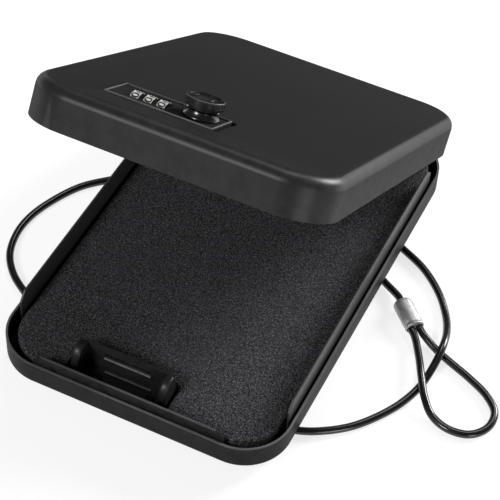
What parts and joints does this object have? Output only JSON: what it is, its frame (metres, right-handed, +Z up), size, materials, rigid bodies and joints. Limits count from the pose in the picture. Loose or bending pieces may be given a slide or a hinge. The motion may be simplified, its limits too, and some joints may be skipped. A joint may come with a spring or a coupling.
{
  "type": "portable car safe",
  "caption": "Slim portable car safe: shallow tray with foam, guard strips and latch keeper, hinged deep lid with a wheel combination lock and knob, and a tether cable with an eye.",
  "frame": {"origin": "middle of the box of everything but the free cable, on the ground under the feet", "axes": "+Z up, +X to the right seen from the lock's side, +Y from the lock's side towards the hinges"},
  "size_m": [0.2856, 0.2722, 0.1678],
  "materials": {
    "paint": "fine matte powder coat",
    "strip_paint": "smooth satin paint",
    "plastic": "matte",
    "gloss_plastic": "polished",
    "number_plastic": "satin, with black numbers",
    "foam": "open-cell foam",
    "rubber": "matte",
    "vinyl": "glossy vinyl over steel strand",
    "steel": "zinc plated",
    "aluminium": "pressed, satin"
  },
  "bodies": {
    "tray": {"tray_shell": "paint", "guard_strip_front": "strip_paint", "guard_strip_right": "strip_paint", "guard_strip_left": "strip_paint", "latch_keeper": "plastic", "keeper_rivet_1": "steel", "keeper_rivet_2": "steel", "foam_pad": "foam", "foot_1": "rubber", "foot_2": "rubber", "foot_3": "rubber", "foot_4": "rubber", "hinge_leaf_tray_left": "steel", "hinge_leaf_tray_right": "steel", "hinge_pin_left": "steel", "hinge_pin_right": "steel", "cable_grommet": "rubber", "cable_run": "vinyl", "cable_loop": "vinyl", "cable_ferrule": "aluminium", "cable_stop": "aluminium"},
    "lid": {"lid_shell": "paint", "lock_plate": "plastic", "lock_case": "plastic", "case_cover": "plastic", "case_screw_1": "steel", "case_screw_2": "steel", "case_screw_3": "steel", "case_screw_4": "steel", "dial_axle": "steel", "detent_spring": "steel", "knob_collar": "gloss_plastic", "hinge_leaf_lid_left": "steel", "hinge_leaf_lid_right": "steel"},
    "wheel_1": {"dial_wheel_1": "number_plastic", "code_disc_1": "steel"},
    "wheel_2": {"dial_wheel_2": "number_plastic", "code_disc_2": "steel"},
    "wheel_3": {"dial_wheel_3": "number_plastic", "code_disc_3": "steel"},
    "knob": {"knob": "plastic", "knob_spindle": "steel", "spindle_clip": "steel"},
    "bolt": {"bolt_slide": "steel"},
    "lever": {"code_reset_lever": "steel"}
  },
  "joints": [
    {"name": "lid_hinge", "type": "hinge", "parent": "tray", "child": "lid", "pos_m": [0, 0.11851, 0.02115], "axis": [-1, 0, 0], "range_deg": [-32.2, 67.8]},
    {"name": "wheel_1_turn", "type": "hinge", "parent": "lid", "child": "wheel_1", "pos_m": [-0.0329, -0.0519, 0.14838], "axis": [1, 0, 0], "continuous": true},
    {"name": "wheel_2_turn", "type": "hinge", "parent": "lid", "child": "wheel_2", "pos_m": [-0.0259, -0.0519, 0.14838], "axis": [1, 0, 0], "continuous": true},
    {"name": "wheel_3_turn", "type": "hinge", "parent": "lid", "child": "wheel_3", "pos_m": [-0.0189, -0.0519, 0.14838], "axis": [1, 0, 0], "continuous": true},
    {"name": "knob_turn", "type": "hinge", "parent": "lid", "child": "knob", "pos_m": [-0.0006, -0.04714, 0.15069], "axis": [0, 0.5329, 0.8462], "range_deg": [0, 90]},
    {"name": "bolt_travel", "type": "slide", "parent": "lid", "child": "bolt", "axis": [0, 0.8462, -0.5329], "range_m": [0, 0.00354]},
    {"name": "reset_lever_pull", "type": "slide", "parent": "lid", "child": "lever", "axis": [0, 0.8462, -0.5329], "range_m": [0, 0.004]}
  ],
  "couplings": [
    {"joint": "knob_turn", "follows": "bolt_travel", "rad_per_m": 444.28}
  ]
}
